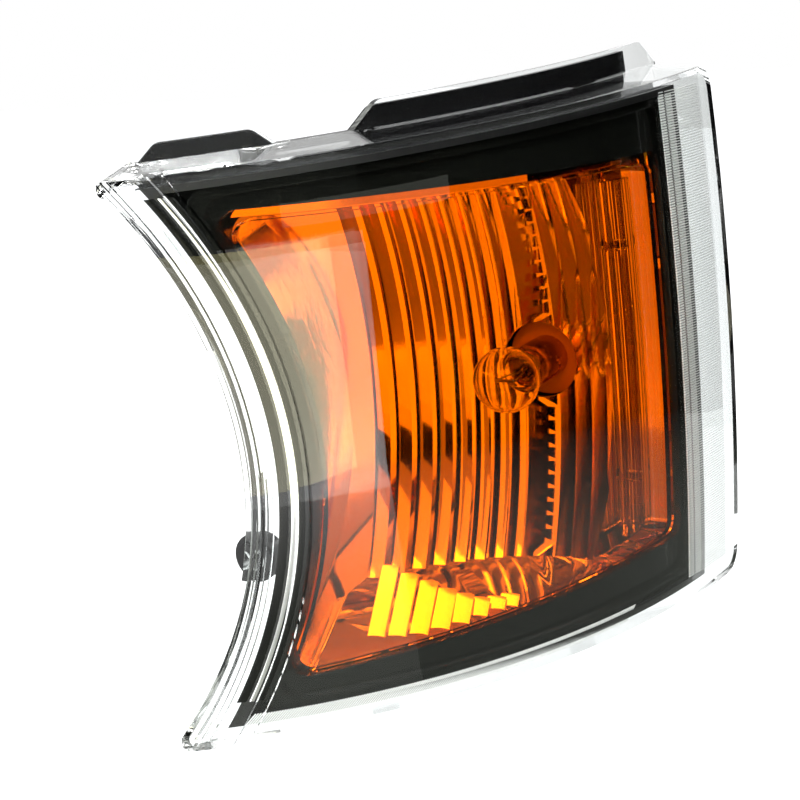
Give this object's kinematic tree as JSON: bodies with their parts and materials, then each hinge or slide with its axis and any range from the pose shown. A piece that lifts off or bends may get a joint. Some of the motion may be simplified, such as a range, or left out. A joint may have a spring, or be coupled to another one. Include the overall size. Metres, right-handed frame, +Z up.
{
  "type": "vehicle direction indicator lamp",
  "caption": "Wrap-round front corner indicator lamp: clear lens, black bezel, amber filter, fluted reflector, and a bayonet bulb in a quarter-turn holder.",
  "frame": {"origin": "centre of the main stud's foot, on the mounting plane at the back of the housing", "axes": "+Y along the main stud, away from the lamp and towards the vehicle's rear; +X to the outer side that the lens wraps round; +Z up"},
  "size_m": [0.1483, 0.2076, 0.2252],
  "materials": {
    "clear_plastic": "clear polished polycarbonate",
    "amber_plastic": "transparent amber plastic",
    "black_gloss": "black gloss plastic",
    "housing_plastic": "fine-grained black plastic",
    "adhesive": "smooth cured adhesive",
    "metallised": "bright metallised plastic",
    "zinc_steel": "zinc-plated steel",
    "rubber": "matt moulded rubber",
    "brass": "drawn brass",
    "bulb_glass": "clear blown glass",
    "black_glass": "black cap insulator",
    "tungsten": "drawn wire",
    "solder": "tinned solder",
    "holder_plastic": "pale heat-resistant plastic",
    "membrane": "pale breather membrane"
  },
  "bodies": {
    "lamp": {"outer_lens": "clear_plastic", "lens_seal": "adhesive", "housing": "housing_plastic", "side_ear": "housing_plastic", "mounting_studs": "zinc_steel", "locating_dowel": "zinc_steel", "ear_bush": "rubber", "ear_spacer": "zinc_steel", "rest_buffers": "rubber", "bezel": "black_gloss", "bezel_pins": "zinc_steel", "amber_filter": "amber_plastic", "filter_stakes": "black_gloss", "reflector": "metallised", "reflector_screws": "zinc_steel", "side_optic": "clear_plastic", "breather_cap": "housing_plastic", "breather_membrane": "membrane"},
    "holder": {"bulb_holder": "holder_plastic", "holder_gasket": "rubber", "terminal_blades": "brass", "bulb_sleeve": "brass", "contact_spring": "tungsten"},
    "bulb": {"bulb_glass": "bulb_glass", "bulb_stem": "bulb_glass", "bulb_supports": "tungsten", "filament": "tungsten", "bulb_cap": "brass", "bulb_insulator": "black_glass", "solder_contact": "solder"},
    "plunger": {"contact_plunger": "brass"}
  },
  "joints": [
    {"name": "bulb_holder_twist", "type": "hinge", "parent": "lamp", "child": "holder", "pos_m": [0.044, -0.003, -0.005], "axis": [0, 1, 0], "range_deg": [0, 45]},
    {"name": "bulb_press", "type": "slide", "parent": "holder", "child": "bulb", "axis": [0, 1, 0], "range_m": [0, 0.0016], "stiffness_N_per_m": 2500, "springref_m": -0.003},
    {"name": "plunger_travel", "type": "slide", "parent": "holder", "child": "plunger", "axis": [0, 1, 0], "range_m": [0, 0.0016], "deforming": ["contact_spring"]}
  ],
  "couplings": [
    {"joint": "plunger_travel", "follows": "bulb_press", "ratio": 1}
  ]
}
